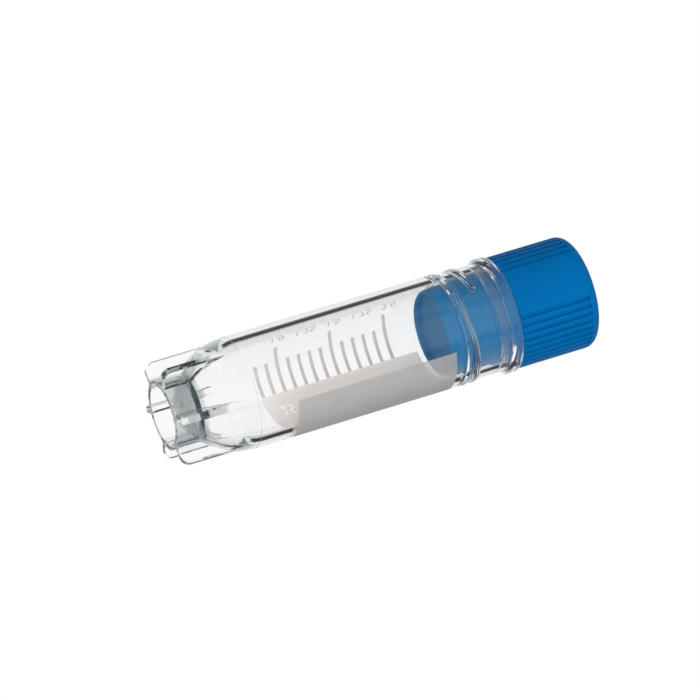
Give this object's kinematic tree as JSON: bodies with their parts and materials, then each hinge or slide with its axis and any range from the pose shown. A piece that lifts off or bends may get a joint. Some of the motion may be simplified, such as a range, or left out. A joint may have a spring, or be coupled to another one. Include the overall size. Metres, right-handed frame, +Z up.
{
  "type": "cryogenic vial",
  "caption": "Self-standing cryogenic sample vial: clear round-bottomed tube with a star foot, blue screw cap with a closed plug and silicone sealing ring",
  "frame": {"origin": "centre of the star foot, on the plane the vial stands on", "axes": "+Z up the vial's axis from the foot to the cap; +X and +Y across it, in the plane of the foot"},
  "size_m": [0.013, 0.013, 0.0495],
  "materials": {
    "clear_pp": "clear, polished moulding, with a white ink writing panel and graduation",
    "blue_pp": "opaque, satin moulding",
    "silicone": "soft, translucent"
  },
  "bodies": {
    "tube": {"tube": "clear_pp"},
    "seal": {"seal_ring": "silicone"},
    "cap": {"screw_cap": "blue_pp"}
  },
  "joints": [
    {"name": "cap_lift", "type": "slide", "parent": "tube", "child": "seal", "axis": [0, 0, 1], "range_m": [0, 0.0099]},
    {"name": "cap_turn", "type": "hinge", "parent": "seal", "child": "cap", "pos_m": [0, 0, 0.0401], "axis": [0, 0, 1], "range_deg": [0, 1620]}
  ],
  "couplings": [
    {"joint": "cap_turn", "follows": "cap_lift", "rad_per_m": 2856}
  ]
}
